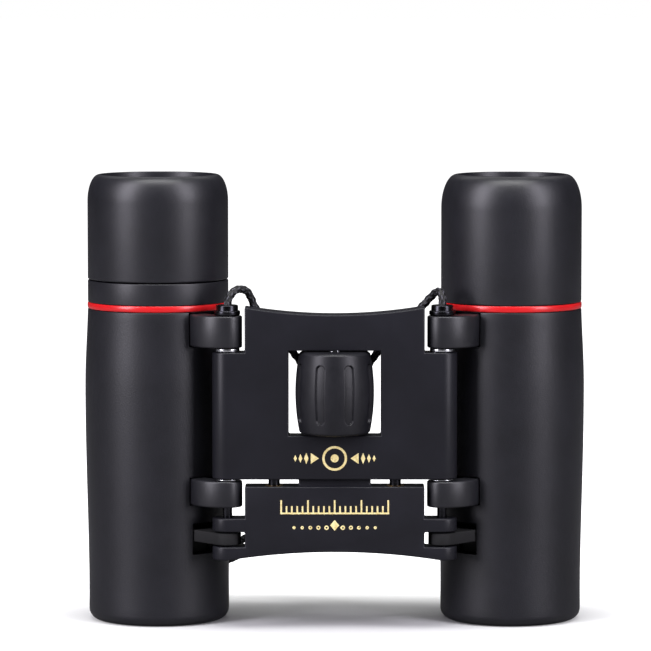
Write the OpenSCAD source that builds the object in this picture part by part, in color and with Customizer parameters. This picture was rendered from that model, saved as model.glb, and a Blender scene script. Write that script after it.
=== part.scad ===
// Compact folding binoculars with two roof-prism barrels, a double-hinge bridge and a
// centre focus wheel, standing on their objective ends with the eyecups up.
// +Z is up along the barrels, +X runs from the barrel with the dioptre to the other one,
// and -Y is the bridge side. The origin is the middle of the footprint, on the ground.

/* [Barrels] */
// Length of the armoured part of a barrel, from its foot to the red ring
body_h = 66.6; // [64:0.2:80]
// Radius of a barrel at its ends
barrel_r = 14.95; // [14.6:0.05:18]
// How much the armour swells in the middle, for the grip
grip_bulge = 0.65; // [0:0.05:0.8]
// Thickness of the rubber armour at the barrel ends
armour_t = 1.3; // [1:0.05:1.6]
// Wall of the barrel tube under the armour
tube_wall = 1.1; // [0.9:0.05:1.3]
// How far a barrel axis lies outboard of its hinge
side_step = 15.1; // [14:0.1:18.5]
// How far a barrel axis lies behind its hinge
set_back = 16.25; // [16:0.05:19.5]
// Height of the red trim ring
ring_h = 1.4; // [1:0.1:2]

/* [Eyepieces] */
// Height of the eyepiece end, from the red ring to the rim of the eyecup
eyecup_h = 27; // [25:0.5:33]
// Height of the fixed collar under the eyecup that turns
dioptre_collar_h = 4.6; // [3:0.1:6]
// Opening radius of the eyecup that turns
left_rim_r = 12.15; // [11:0.05:12.4]
// Opening radius of the fixed eyecup
right_rim_r = 11.4; // [11:0.05:12.4]
// Depth from the rim of the eyecup to the floor of its bowl
bowl_depth = 8.8; // [7:0.1:10]
// Radius of the eyepiece lenses
ocular_r = 9.25; // [7.8:0.05:9.4]
// Dioptre travel of the eyepiece lenses, each way
dioptre_travel = 0.84; // [0.5:0.02:1]

/* [Objectives] */
// Radius of the objective lens
objective_r = 11.35; // [9.5:0.05:11.4]
// Height of the objective cell above the ground, at rest
cell_z = 3.9; // [3.8:0.1:5]
// Length of the objective cell; it is longer where a tall body lifts the focus arm
cell_h = 20; // [18:0.5:22]
// Clear aperture of the prisms
prism_a = 11; // [9:0.1:11]

/* [Bridge] */
// Distance between the two hinge axes
hinge_pitch = 45; // [44:0.5:56]
// Radius of the hinge knuckles, half the thickness of the bridge
knuckle_r = 3.15; // [3:0.05:3.8]
// Height of the upper barrel lugs
upper_lug_h = 6.7; // [5:0.1:8]
// Height of the bridge knuckles, between the upper and the lower lugs
knuckle_h = 26.6; // [25:0.1:30]
// Height of the lower barrel lugs
lower_lug_h = 5.5; // [4:0.1:6]
// Width of the window for the focus wheel
window_w = 19.3; // [18.5:0.1:24]
// Height of the window for the focus wheel
window_h = 17.9; // [17:0.1:20]
// How far the concave top of the bridge dips in the middle
top_dip = 1.6; // [0:0.1:2]
// Radius of the hinge pin in the upper lug and the bridge
hinge_pin_r = 1.6; // [1.4:0.05:1.8]
// Radius of the thin lower length of the hinge pin, which also guides the focus plate
guide_pin_r = 1.0; // [0.8:0.05:1.2]

/* [Focus] */
// Largest diameter of the focus wheel
wheel_d = 16.5; // [13.7:0.1:17.5]
// How much smaller the wheel is in radius at its ends
wheel_crown = 0.6; // [0:0.05:1]
// Number of grooves round the wheel
groove_count = 8; // [6:1:10]
// Length of each groove
groove_l = 12.5; // [8:0.1:14]
// Width of each groove
groove_w = 1.9; // [1.2:0.1:2.4]
// Gap between the bridge plate and the focus plate
plate_gap = 1.5; // [1.3:0.1:2]
// Height of the focus plate at its ends
focus_plate_h = 15.6; // [15:0.1:17]
// How far the concave bottom of the focus plate rises in the middle
bottom_rise = 1.8; // [0:0.1:2.5]
// Height of the focus lug on each objective cell
focus_lug_h = 2.5; // [2:0.1:3]
// Radius of the two guide rods
rod_r = 1.2; // [0.9:0.05:1.3]
// Distance between the two guide rods
rod_pitch = 25.4; // [22:0.2:30]

/* [Strap] */
// Diameter of the braided cord
cord_d = 1.7; // [1.5:0.1:1.8]

/* [Hidden] */
$fn = 64;
fit = 0.05;          // radial clearance of a seat or a running fit
side_gap = 0.35;     // clearance beside a part that slides past another
travel_up = 1.0;     // focus travel upwards from rest
travel_down = 2.5;   // focus travel downwards from rest
end_gap = 0.3;       // space left past the end of a blind part
eps = 0.01;

// Places of the axes
grip_r = barrel_r + grip_bulge;
hinge_x = hinge_pitch / 2;
hinge_y = -(set_back + grip_r - wheel_d / 2) / 2;
barrel_x = hinge_x + side_step;
barrel_y = hinge_y + set_back;
arm_angle = atan2(set_back, -side_step);
arm_l = norm([side_step, set_back]);

// Radii inside a barrel
tube_r = barrel_r - armour_t;
bore_r = tube_r - tube_wall;
cell_r = bore_r - fit;
foot_lip_r = bore_r - 0.55;
foot_seat_z = 1.2;   // the tube stands this far above the foot of the armour

// Levels from the ground up
ring_z = body_h;
eyecup_z = ring_z + ring_h;
total_h = eyecup_z + eyecup_h;
turn_gap = 0.25;
left_eyecup_z = eyecup_z + dioptre_collar_h + turn_gap;
bowl_z = total_h - bowl_depth;

// Levels of the hinge, downwards from the top of the armour
upper_lug_top = body_h - 0.4;
upper_lug_z = upper_lug_top - upper_lug_h;
upper_washer_gap = 0.9;
upper_washer_play = 0.15;
knuckle_top = upper_lug_z - upper_washer_gap;
knuckle_z = knuckle_top - knuckle_h;
lower_washer_gap = 0.5;
lower_washer_play = 0.12;
lower_lug_top = knuckle_z - lower_washer_gap;
lower_lug_z = lower_lug_top - lower_lug_h;
bridge_top = body_h + 1.5;
arm_gap = 0.55;
arm_half_w = hinge_x - knuckle_r - arm_gap;

// Levels of the window, the wheel and the focus plate
window_top = knuckle_top + 0.45;
window_z = window_top - window_h;
wheel_end_gap = 0.3;
wheel_h = window_h - 2 * wheel_end_gap;
wheel_z = window_z + wheel_end_gap;
focus_top = knuckle_z - plate_gap;
focus_z = focus_top - focus_plate_h;
slot_gap_h = 6.8;
ear_h = (focus_plate_h - slot_gap_h - focus_lug_h - 2 * side_gap) / 2;
focus_lug_z = focus_z + ear_h + side_gap;
upper_ear_z = focus_lug_z + focus_lug_h + side_gap;
upper_ear_top = upper_ear_z + ear_h;
focus_eye_r = knuckle_r - 0.3;

// Focus drive
screw_r = 1.5;
screw_top = window_top + 4.6;
screw_bottom = focus_top - 9.5;
bush_r = 2.3;
nut_r = 2.5;
nut_h = 7.3;
nut_top = focus_top - 0.6;
loose = 0.15;        // radial clearance where two parts only pass each other
pocket_h = 4.2;
tongue_w = 15.1;
tongue_t = 2 * knuckle_r - 1.9;
tongue_h = pocket_h - travel_up - 1.2;
rod_hold = 7;        // length of a guide rod held in the bridge
rod_reach = 7;       // length of a guide rod inside the focus plate, at rest
guide_bush_h = 3.5;
guide_bush_r = rod_r + 0.7;
wheel_core_r = wheel_d / 2 - wheel_crown - 1.1;
groove_depth = 0.4;

// Lug front: an arc that leaves the knuckle square and meets the armour flush
lug_front_r = 8.1;

// Eyelet head on top of each hinge pin
flange_r = 2.75;
flange_h = 0.9;
head_r = 2.3;
head_h = 1.2;
head_z = upper_lug_top + 0.15;
head_top = head_z + flange_h + head_h;
cord_socket = 1.6;

// Steps of the hinge pin and radius of its washers
pin_step_z = knuckle_z + 1.5;
pin_end_z = focus_z + 0.3;
washer_r = hinge_pin_r + 1;

// Optics
cell_bore_r = objective_r + fit;
cell_seat_z = cell_z + 6.6;
arm_cover = 1.5;     // wall of the cell above the focus arm
cell_top = max(cell_z + cell_h, focus_lug_z + focus_lug_h + arm_cover);
prism_h = prism_a * (1 + sqrt(2)) / 2;
prism_half_t = prism_a / 2 + 0.4;
prism_gap = 0.3;
prism_floor_z = cell_top + travel_up + 7;
floor_t = 1.5;
prism_z = prism_floor_z + floor_t;
retainer_t = 0.8;
housing_top = prism_z + prism_h + retainer_t + 0.15;
eyepiece_r = bore_r - 0.6;
ocular_cell_r = ocular_r + 1.2;
ocular_top = bowl_z - 1.15 - dioptre_travel;
ocular_h = 20;
ocular_z = ocular_top - ocular_h;
eyepiece_z = ocular_z - 4;
prism_screw_y = cell_r - 2.6;
prism_screw_r = 0.75;
prism_screw_l = 5;
port_r = prism_a / 2 + 0.2;
skirt_h = 5;
skirt_wall = 1.2;
stop_wall = 0.8;

// Strap coil and tie
coil_turns_across = 4;
coil_turns_high = 3;
tie_t = 0.4;
tie_w = 2.4;
coil_w = coil_turns_across * cord_d;
coil_h = coil_turns_high * cord_d;
coil_mean_r = 5.5 * cord_d;
coil_x = -37.6;
coil_y = 37;

// Route of each cord leg, from its eyelet to the coil
left_route = [
  [-22.5, -11.8, 66.7], [-22.5, -11.8, 68.4], [-21.6, -11.1, 70.8], [-19.7, -9.6, 71.7],
  [-18, -8.2, 70.6], [-17.1, -7.6, 68.3], [-15.4, -7.5, 65.4], [-12.6, -7.4, 62.2], [-9, -7.1, 58.4],
  [-6.2, -4.5, 54.2], [-3.2, -2.2, 49], [-1.4, -1.2, 42], [-1.2, -0.8, 34], [-0.4, 2.4, 27],
  [-0.2, 14.5, 20.6], [-2.8, 21.5, 17.8], [-10, 26.4, 14], [-19, 27.8, 10.8], [-28, 27.8, 7],
  [-34, 27.7, 4]
];
right_route = [
  [22.5, -11.8, 66.7], [22.5, -11.8, 68.4], [22.5, -11, 70.5], [21.7, -9.4, 71.2],
  [20.2, -7.7, 69.8], [18.5, -7.5, 67.9], [13.4, -7.3, 62.8], [9, -7.1, 58], [6.2, -4.5, 53.8],
  [3.2, -2.2, 48.6], [1.4, -1.2, 42], [1.2, -0.6, 35.6], [0.4, 2.6, 30], [0, 8, 26.4],
  [-0.2, 14.5, 24], [-3, 22.6, 21.2], [-10.4, 28.6, 17.4], [-19.4, 30.4, 13.6], [-28, 30.8, 8.4],
  [-33.8, 30.2, 4.4]
];
route_steps = 2;
cord_sides = 8;

// ---- helpers ----

// A round bar or hole from z0 to z1
module rod(r, z0, z1) {
  translate([0, 0, z0]) cylinder(r = r, h = z1 - z0);
}

// A ring or sleeve from z0 to z1
module sleeve(r, r_in, z0, z1) {
  difference() {
    rod(r, z0, z1);
    rod(r_in, z0 - 1, z1 + 1);
  }
}

// A box centred across, from z0 to z1
module slab(w, t, z0, z1) {
  translate([-w / 2, -t / 2, z0]) cube([w, t, z1 - z0]);
}

module on_hinge_line() {
  translate([0, hinge_y, 0]) children();
}

// side is -1 for the left barrel and 1 for the right one, its mirror image
module on_barrel(side) {
  mirror([side > 0 ? 1 : 0, 0, 0]) translate([-barrel_x, barrel_y, 0]) children();
}

module on_hinge(side) {
  mirror([side > 0 ? 1 : 0, 0, 0]) translate([-hinge_x, hinge_y, 0]) children();
}

function sag(radius, r) = radius - sqrt(radius * radius - r * r);
// How far a lens face bulges past its edge at the inner side of a ring of that wall
function rim_drop(radius, r, wall) = sag(radius, r) - sag(radius, r - wall);

// Armour radius at height z: the ends keep barrel_r and the middle swells by grip_bulge
bulge_z = body_h * 0.74;
bulge_up = 19;
bulge_down = 42;
function bulge(u) = u >= 1 ? 0 : pow(1 - u * u, 2);
function armour_r(z) =
  barrel_r + grip_bulge * (z > bulge_z ? bulge((z - bulge_z) / bulge_up) : bulge((bulge_z - z) / bulge_down));

// ---- bridge ----

// Long face of the bridge or the focus plate: a flat slab with concave edge cut off
module dished_cut(half_w, dip) {
  big_r = (half_w * half_w + dip * dip) / (2 * dip);
  translate([0, 0, big_r - dip]) rotate([90, 0, 0]) cylinder(r = big_r, h = 40, center = true, $fn = 180);
}

module bridge_plate() {
  t = 2 * knuckle_r;
  color("#2b2b2f") on_hinge_line() difference() {
    union() {
      slab(hinge_pitch, t, knuckle_z, knuckle_top);
      slab(2 * arm_half_w, t, knuckle_top - eps, bridge_top);
      for (x = [-hinge_x, hinge_x]) translate([x, 0, 0]) rod(knuckle_r, knuckle_z, knuckle_top);
    }
    if (top_dip > 0) translate([0, 0, bridge_top]) dished_cut(arm_half_w, top_dip);
    slab(window_w, 4 * knuckle_r, window_z, window_top);
    for (x = [-hinge_x, hinge_x]) translate([x, 0, 0]) rod(hinge_pin_r + fit, knuckle_z - 1, bridge_top + 1);
    rod(screw_r + fit, window_top - 1, screw_top + end_gap);
    rod(bush_r + fit, knuckle_z - 1, window_z + 1);
    slab(tongue_w + 2 * side_gap, tongue_t + 2 * side_gap, knuckle_z - 1, knuckle_z + pocket_h);
    for (x = [-rod_pitch / 2, rod_pitch / 2])
      translate([x, 0, 0]) rod(rod_r + fit, knuckle_z - 1, knuckle_z + rod_hold + end_gap);
  }
}

// Stepped hinge pin: eyelet head, thick hinge length, thin lower length for the focus plate
module hinge_pin(side) {
  color("#3a3a3e") on_hinge(side) difference() {
    union() {
      rod(flange_r, head_z, head_z + flange_h);
      rod(head_r, head_z, head_top);
      rod(hinge_pin_r, pin_step_z, head_z + eps);
      rod(guide_pin_r, pin_end_z, pin_step_z + eps);
    }
    rod(cord_d / 2 + fit, head_top - cord_socket, head_top + 1);
  }
}

module hinge_washers() {
  color("silver") for (side = [-1, 1]) on_hinge(side) {
    sleeve(washer_r, hinge_pin_r + fit, knuckle_top + upper_washer_play, upper_lug_z - upper_washer_play);
    sleeve(washer_r, guide_pin_r + fit, lower_lug_top + lower_washer_play, knuckle_z - lower_washer_play);
  }
}

module guide_rods() {
  color("silver") on_hinge_line() for (x = [-rod_pitch / 2, rod_pitch / 2])
    translate([x, 0, 0]) rod(rod_r, focus_top - rod_reach, knuckle_z + rod_hold);
}

module focus_bush() {
  color("goldenrod") on_hinge_line() sleeve(bush_r, screw_r + fit, clip_top + end_gap, window_z);
}

// ---- focus wheel ----

module focus_wheel_core() {
  color("#1c1c1e") on_hinge_line() sleeve(wheel_core_r, screw_r + fit, wheel_z, wheel_z + wheel_h);
}

// Outline of the crowned grip, as radius and height
grip_edge = 0.5;
function crown_r(z) = wheel_d / 2 - wheel_crown * pow(2 * z / wheel_h - 1, 2);
function crown_point(i) = let (z = grip_edge + (wheel_h - 2 * grip_edge) * i / 12) [crown_r(z), z];
crown_outline = concat(
  [[wheel_core_r + fit, 0], [crown_r(0) - grip_edge, 0]],
  [for (i = [0:12]) crown_point(i)],
  [[crown_r(0) - grip_edge, wheel_h], [wheel_core_r + fit, wheel_h]]
);

module focus_wheel_grip() {
  color("#2a2a2d") on_hinge_line() translate([0, 0, wheel_z]) difference() {
    rotate_extrude() polygon(crown_outline);
    for (i = [0:groove_count - 1]) rotate(i * 360 / groove_count + 180 / groove_count)
      translate([0, -wheel_d / 2 + groove_depth, wheel_h / 2]) rotate([90, 0, 0]) linear_extrude(4) {
        square([groove_w, groove_l - groove_w], center = true);
        for (y = [-1, 1]) translate([0, y * (groove_l - groove_w) / 2]) circle(r = groove_w / 2);
      }
  }
}

// Groove of the circlip, just below the bearing
clip_top = knuckle_z + pocket_h - 0.1;
clip_t = 0.6;
clip_groove_r = screw_r - 0.3;
clip_mouth = 1.6;

module focus_screw() {
  color("silver") on_hinge_line() difference() {
    rod(screw_r, screw_bottom, screw_top);
    sleeve(screw_r + 1, clip_groove_r, clip_top - clip_t - fit, clip_top + fit);
  }
}

// Open spring clip that keeps the screw from lifting out of its bearing
module focus_circlip() {
  color("silver") on_hinge_line() difference() {
    sleeve(bush_r, clip_groove_r + fit, clip_top - clip_t, clip_top);
    translate([0, 0, clip_top - 1]) linear_extrude(2) polygon([[0, 0], [-clip_mouth, 4], [clip_mouth, 4]]);
  }
}

// ---- focus plate ----

module focus_plate() {
  t = 2 * knuckle_r;
  color("#2b2b2f") on_hinge_line() difference() {
    union() {
      slab(2 * arm_half_w, t, focus_z, focus_top);
      slab(tongue_w, tongue_t, focus_top - eps, focus_top + plate_gap + tongue_h);
      for (x = [-1, 1]) {
        for (z = [focus_z, upper_ear_z]) translate([x * hinge_x, 0, 0]) rod(knuckle_r, z, z + ear_h);
        for (z = [focus_z, upper_ear_z]) translate([x * (hinge_x + arm_half_w - 2) / 2, 0, 0])
          slab(hinge_x - arm_half_w + 2, t, z, z + ear_h);
      }
    }
    if (bottom_rise > 0) translate([0, 0, focus_z]) mirror([0, 0, 1]) dished_cut(hinge_x, bottom_rise);
    for (x = [-hinge_x, hinge_x]) translate([x, 0, 0]) rod(guide_pin_r + fit, focus_z - 1, focus_top + 1);
    for (x = [-1, 1]) translate([x * rod_pitch / 2, 0, 0]) {
      rod(rod_r + loose, focus_top - rod_reach - travel_up - 1, focus_top + 1);
      rod(guide_bush_r + fit, focus_top - guide_bush_h, focus_top + 1);
    }
    rod(screw_r + loose, screw_bottom - travel_up - 1, focus_top + 10);
    rod(nut_r + fit, nut_top - nut_h - 2 * fit, nut_top + 2 * fit);
  }
}

module focus_nut() {
  color("goldenrod") on_hinge_line() sleeve(nut_r, screw_r + fit, nut_top - nut_h, nut_top);
}

module guide_bushes() {
  color("goldenrod") on_hinge_line() for (x = [-1, 1]) translate([x * rod_pitch / 2, 0, 0])
    sleeve(guide_bush_r, rod_r + fit, focus_top - guide_bush_h, focus_top);
}

// ---- barrels, drawn for the left one with the barrel axis at x = y = 0 ----

// Outline of a barrel lug about its hinge axis
module lug_outline() {
  circle(r = knuckle_r);
  intersection() {
    translate([0, lug_front_r - knuckle_r]) circle(r = lug_front_r);
    polygon([[0, 0], [0, -knuckle_r - 1], [-arm_l, -knuckle_r - 1], [-arm_l, 0], [-side_step, set_back]]);
  }
}

module lug(z0, h) {
  translate([side_step, -set_back, z0]) linear_extrude(h) lug_outline();
}

// Way through the wall for the focus lug of the objective cell, over its whole travel
module focus_slot(reach) {
  rotate(arm_angle + 180) translate([0, -focus_eye_r - side_gap, focus_lug_z - travel_down - side_gap])
    cube([reach, 2 * (focus_eye_r + side_gap), focus_lug_h + travel_down + travel_up + 2 * side_gap]);
}

module barrel_tube(side) {
  color("#303034") on_barrel(side) difference() {
    union() {
      rod(tube_r, foot_seat_z, body_h);
      lug(upper_lug_z, upper_lug_h);
      lug(lower_lug_z, lower_lug_h);
    }
    rod(bore_r, 0, body_h + 1);
    translate([side_step, -set_back, 0]) {
      rod(hinge_pin_r + fit, knuckle_z, body_h + 1);
      rod(guide_pin_r + fit, 0, knuckle_z + 1);
    }
    focus_slot(tube_r + 2);
  }
}

// Outline of the armour, as radius and height: a rounded foot and a swelling grip
foot_r = 2.2;
armour_outline = concat(
  [[foot_lip_r, 0]],
  [for (a = [0:15:90]) [barrel_r - foot_r + foot_r * sin(a), foot_r - foot_r * cos(a)]],
  [for (i = [1:24]) let (z = foot_r + (body_h - foot_r) * i / 24) [armour_r(z), z]],
  [[tube_r + fit, body_h], [tube_r + fit, foot_seat_z - fit], [foot_lip_r, foot_seat_z - fit]]
);

module armour(side) {
  color("#2a2a2d") on_barrel(side) difference() {
    rotate_extrude() polygon(armour_outline);
    lug(upper_lug_z, upper_lug_h);
    lug(lower_lug_z, lower_lug_h);
    focus_slot(grip_r + 2);
  }
}

module red_ring(side) {
  color("#e23a3a") on_barrel(side) sleeve(barrel_r + fit, bore_r + fit, ring_z, ring_z + ring_h);
}

module dioptre_collar(side) {
  color("#2a2a2d") on_barrel(side) sleeve(barrel_r, eyepiece_r + fit, eyecup_z, eyecup_z + dioptre_collar_h);
}

module eyepiece_body(side) {
  color("#202022") on_barrel(side) difference() {
    union() {
      rod(cell_r, eyepiece_z, ring_z + ring_h);
      rod(eyepiece_r, ring_z, bowl_z - bowl_floor_t - end_gap);
    }
    rod(ocular_cell_r + fit, eyepiece_z - 1, bowl_z + 1);
  }
}

// Outline of an eyecup that starts at height z0 and opens to rim_r
rim_flat = 0.3;
rim_edge = 0.15;
bowl_ledge = 0.5;
bowl_floor_t = 1;
function eyecup_outline(z0, rim_r) =
  let (shoulder_w = barrel_r - rim_r - rim_flat, shoulder_h = 2 * (shoulder_w + rim_flat))
  concat(
    [[eyepiece_r + 2 * fit, z0], [barrel_r, z0]],
    [for (a = [0:9:81]) [barrel_r - shoulder_w * (1 - cos(a)), total_h - shoulder_h * (1 - sin(a))]],
    [[rim_r + rim_flat, total_h], [rim_r, total_h - rim_edge]],
    [for (a = [15:15:90]) [rim_r - (rim_r - ocular_r - bowl_ledge) * (1 - cos(a)),
                           total_h - rim_edge - (bowl_depth - rim_edge) * sin(a)]],
    [[ocular_r + bowl_ledge, bowl_z - bowl_floor_t], [eyepiece_r + 2 * fit, bowl_z - bowl_floor_t]]
  );

module eyecup(side, z0, rim_r) {
  color("#262629") on_barrel(side) rotate_extrude() polygon(eyecup_outline(z0, rim_r));
}

// Lens cell with a lip at its top, behind which the lenses stack from below
lip_h = 1.4;
ring_wall = 1;
eye_lens_edge = 3.6;
eye_lens_radius = 30;
spacer_h = 7;
field_lens_edge = 2.2;
field_lens_radius = 16;
eye_lens_z = ocular_top - lip_h - eye_lens_edge;
spacer_z = eye_lens_z - spacer_h;
field_lens_z = spacer_z - field_lens_edge;

module ocular_cell(side) {
  color("#202022") on_barrel(side) difference() {
    rod(ocular_cell_r, ocular_z, ocular_top);
    rod(ocular_r + fit, ocular_z - 1, ocular_top - lip_h);
    rod(ocular_r - ring_wall, ocular_z, ocular_top + 1);
  }
}

// Plano-convex lens with its flat face at z0 and its curved face turned up or down
module plano_lens(r, edge, radius, z0, up) {
  translate([0, 0, z0]) mirror([0, 0, up ? 0 : 1]) intersection() {
    rod(r, 0, edge + sag(radius, r) + 1);
    translate([0, 0, edge + sag(radius, r) - radius]) sphere(r = radius, $fn = 128);
  }
}

module eye_lens(side) {
  color("#8fa6b8") on_barrel(side) difference() {
    plano_lens(ocular_r, eye_lens_edge - fit, eye_lens_radius, eye_lens_z, true);
    sleeve(ocular_r + 1, ocular_r - ring_wall - fit, ocular_top - lip_h - fit, ocular_top + 2);
  }
}

module lens_spacer(side) {
  color("#2c2c2e") on_barrel(side) sleeve(ocular_r, ocular_r - ring_wall, spacer_z + fit, eye_lens_z - fit);
}

module field_lens(side) {
  color("#8fa6b8") on_barrel(side) plano_lens(ocular_r, field_lens_edge, field_lens_radius, spacer_z, false);
}

module ocular_ring(side) {
  color("#2c2c2e") on_barrel(side)
    sleeve(ocular_r, ocular_r - ring_wall, ocular_z + end_gap,
           field_lens_z - fit - rim_drop(field_lens_radius, ocular_r, ring_wall));
}

// ---- prisms ----

// Cage for both prisms: a floor with the light port, and two cheeks that hold them
module prism_housing(side) {
  color("#26262a") on_barrel(side) difference() {
    rod(cell_r, prism_floor_z - skirt_h, housing_top);
    rod(port_r, prism_floor_z - skirt_h, prism_z + 1);
    rod(cell_r - skirt_wall, prism_floor_z - skirt_h - 1, prism_floor_z);
    slab(4 * cell_r, 2 * (prism_half_t + fit), prism_z, housing_top + 1);
    for (y = [-1, 1]) translate([0, y * prism_screw_y, 0])
      rod(prism_screw_r + fit, housing_top - prism_screw_l - end_gap, housing_top + 1);
  }
}

// Half-penta prism: entry face below, mirror face on +X, 45 degree face towards the roof prism
// Its outline follows from the aperture a and the 22.5 degree rule.
module half_penta_prism(side) {
  a = prism_a;
  k = tan(22.5);
  b = a * k / 2;
  color("#9fb4c2") on_barrel(side) translate([0, prism_half_t, prism_z + fit]) rotate([90, 0, 0])
    linear_extrude(2 * prism_half_t)
    polygon([[-a / 2 + prism_gap, 0], [a / 2, 0], [a / 2 + a * k, a],
             [a / 2 + a * k - b, a + b - prism_gap]]);
}

// Roof prism: exit face above, 45 degree face towards the half-penta prism, 90 degree roof on -X
module roof_prism(side) {
  a = prism_a;
  h = prism_h;
  color("#9fb4c2") on_barrel(side) translate([0, 0, prism_z + fit]) intersection() {
    translate([0, prism_half_t, 0]) rotate([90, 0, 0]) linear_extrude(2 * prism_half_t)
      polygon([[-a / 2, prism_gap], [h - a / 2 - prism_gap, h], [-a / 2 - h * tan(22.5), h]]);
    translate([-a / 2, 0, 0]) rotate([0, -22.5, 0]) rotate(-45)
      translate([0, 0, -a]) cube([3 * a, 3 * a, 4 * a]);
  }
}

module prism_retainer(side) {
  color("silver") on_barrel(side) difference() {
    intersection() {
      rod(cell_r - 2 * end_gap, housing_top - retainer_t - fit, housing_top - fit);
      slab(4 * cell_r, 2 * (prism_half_t - fit), 0, total_h);
    }
    rod(port_r, 0, total_h);
  }
}

module prism_screws(side) {
  color("silver") on_barrel(side) for (y = [-1, 1]) translate([0, y * prism_screw_y, 0]) {
    rod(prism_screw_r, housing_top - prism_screw_l, housing_top + fit);
    rod(2 * prism_screw_r, housing_top + fit - eps, housing_top + prism_screw_r);
  }
}

// ---- objectives ----

// Sliding lens cell with a seat for the doublet and an arm to the hinge line
module objective_cell(side) {
  color("#26262a") on_barrel(side) difference() {
    union() {
      rod(cell_r, cell_z, cell_top);
      rotate(arm_angle + 180) {
        translate([0, -focus_eye_r, focus_lug_z]) cube([arm_l, 2 * focus_eye_r, focus_lug_h]);
        translate([arm_l, 0, 0]) rod(focus_eye_r, focus_lug_z, focus_lug_z + focus_lug_h);
      }
    }
    rod(cell_bore_r, cell_z - 1, cell_seat_z);
    rod(objective_r - stop_wall, cell_z, cell_top + 1);
    translate([side_step, -set_back, 0]) rod(guide_pin_r + fit, 0, body_h);
  }
}

crown_edge = 1.9;
flint_edge = 2.0;
front_radius = 42;
cement_radius = 36;
front_pole_z = cell_seat_z - flint_edge - crown_edge - sag(front_radius, objective_r);
cement_pole_z = cell_seat_z - flint_edge + sag(cement_radius, objective_r);

module objective_crown(side) {
  color("#b5603a") on_barrel(side) intersection() {
    rod(objective_r, cell_z, cell_seat_z);
    translate([0, 0, front_pole_z + front_radius]) sphere(r = front_radius, $fn = 180);
    translate([0, 0, cement_pole_z - 2 * fit - cement_radius]) sphere(r = cement_radius, $fn = 180);
  }
}

module objective_flint(side) {
  color("#b5603a") on_barrel(side) difference() {
    rod(objective_r, cell_seat_z - flint_edge, cell_seat_z - eps);
    translate([0, 0, cement_pole_z - cement_radius]) sphere(r = cement_radius, $fn = 180);
  }
}

module objective_ring(side) {
  color("#2c2c2e") on_barrel(side)
    sleeve(objective_r, objective_r - stop_wall,
           cell_z + end_gap,
           cell_seat_z - flint_edge - crown_edge - 2 * fit - rim_drop(front_radius, objective_r, stop_wall));
}

// ---- strap ----

function unit(v) = v / norm(v);
function spline_at(a, b, c, d, t) =
  (2 * b + (c - a) * t + (2 * a - 5 * b + 4 * c - d) * t * t + (3 * b - a - 3 * c + d) * t * t * t) / 2;
function smoothed(p) = let (last = len(p) - 1) concat(
  [for (i = [0:last - 1]) for (k = [0:route_steps - 1])
    spline_at(p[max(i - 1, 0)], p[i], p[i + 1], p[min(i + 2, last)], k / route_steps)],
  [p[last]]);
function tangents(p) = [for (i = [0:len(p) - 1]) unit(p[min(i + 1, len(p) - 1)] - p[max(i - 1, 0)])];
// Side vectors carried along the route without twist
function side_vectors(t, i = 0, n = [1, 0, 0]) =
  i >= len(t) ? [] : let (m = unit(n - (n * t[i]) * t[i])) concat([m], side_vectors(t, i + 1, m));

module cord(route) {
  p = smoothed(route);
  t = tangents(p);
  n = side_vectors(t);
  s = cord_sides;
  last = len(p) - 1;
  points = [for (i = [0:last]) for (k = [0:s - 1])
    p[i] + cord_d / 2 * (cos(360 * k / s) * n[i] + sin(360 * k / s) * cross(t[i], n[i]))];
  sides = [for (i = [0:last - 1]) for (k = [0:s - 1])
    [i * s + k, (i + 1) * s + k, (i + 1) * s + (k + 1) % s, i * s + (k + 1) % s]];
  caps = [[for (k = [0:s - 1]) k], [for (k = [0:s - 1]) last * s + s - 1 - k]];
  polyhedron(points, concat(sides, caps));
}

module strap_left_run() {
  color("#1d1d1f") cord(left_route);
}

module strap_right_run() {
  color("#1d1d1f") cord(right_route);
}

module strap_coil() {
  color("#1d1d1f") translate([coil_x, coil_y, tie_t]) rotate_extrude() translate([coil_mean_r, coil_h / 2]) {
    square([coil_w, coil_h - cord_d], center = true);
    square([coil_w - cord_d, coil_h], center = true);
    for (x = [-1, 1], y = [-1, 1])
      translate([x * (coil_w - cord_d) / 2, y * (coil_h - cord_d) / 2]) circle(r = cord_d / 2);
  }
}

// Twisted wire tie round the bundle, behind the middle of the coil
module strap_tie() {
  color("#151516") translate([coil_x, coil_y + coil_mean_r, 0]) difference() {
    slab(tie_w, coil_w + 2 * tie_t, 0, coil_h + 2 * tie_t);
    slab(2 * tie_w, coil_w + 2 * fit, tie_t - 2 * eps, tie_t + coil_h + 2 * eps);
  }
}

bridge_plate();
hinge_pin(-1);  // left_hinge_pin
hinge_pin(1);  // right_hinge_pin
hinge_washers();
guide_rods();
focus_bush();
strap_left_run();
strap_right_run();
strap_coil();
strap_tie();
focus_wheel_core();
focus_wheel_grip();
focus_screw();
focus_circlip();
focus_plate();
focus_nut();
guide_bushes();
barrel_tube(-1);  // left_barrel_tube
armour(-1);  // left_armour
red_ring(-1);  // left_red_ring
dioptre_collar(-1);  // left_dioptre_collar
eyepiece_body(-1);  // left_eyepiece_body
eyecup(-1, left_eyecup_z, left_rim_r);  // left_eyecup
ocular_cell(-1);  // left_ocular_cell
eye_lens(-1);  // left_eye_lens
lens_spacer(-1);  // left_lens_spacer
field_lens(-1);  // left_field_lens
ocular_ring(-1);  // left_ocular_ring
prism_housing(-1);  // left_prism_housing
half_penta_prism(-1);  // left_half_penta_prism
roof_prism(-1);  // left_roof_prism
prism_retainer(-1);  // left_prism_retainer
prism_screws(-1);  // left_prism_screws
objective_cell(-1);  // left_objective_cell
objective_crown(-1);  // left_objective_crown
objective_flint(-1);  // left_objective_flint
objective_ring(-1);  // left_objective_ring
barrel_tube(1);  // right_barrel_tube
armour(1);  // right_armour
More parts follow.
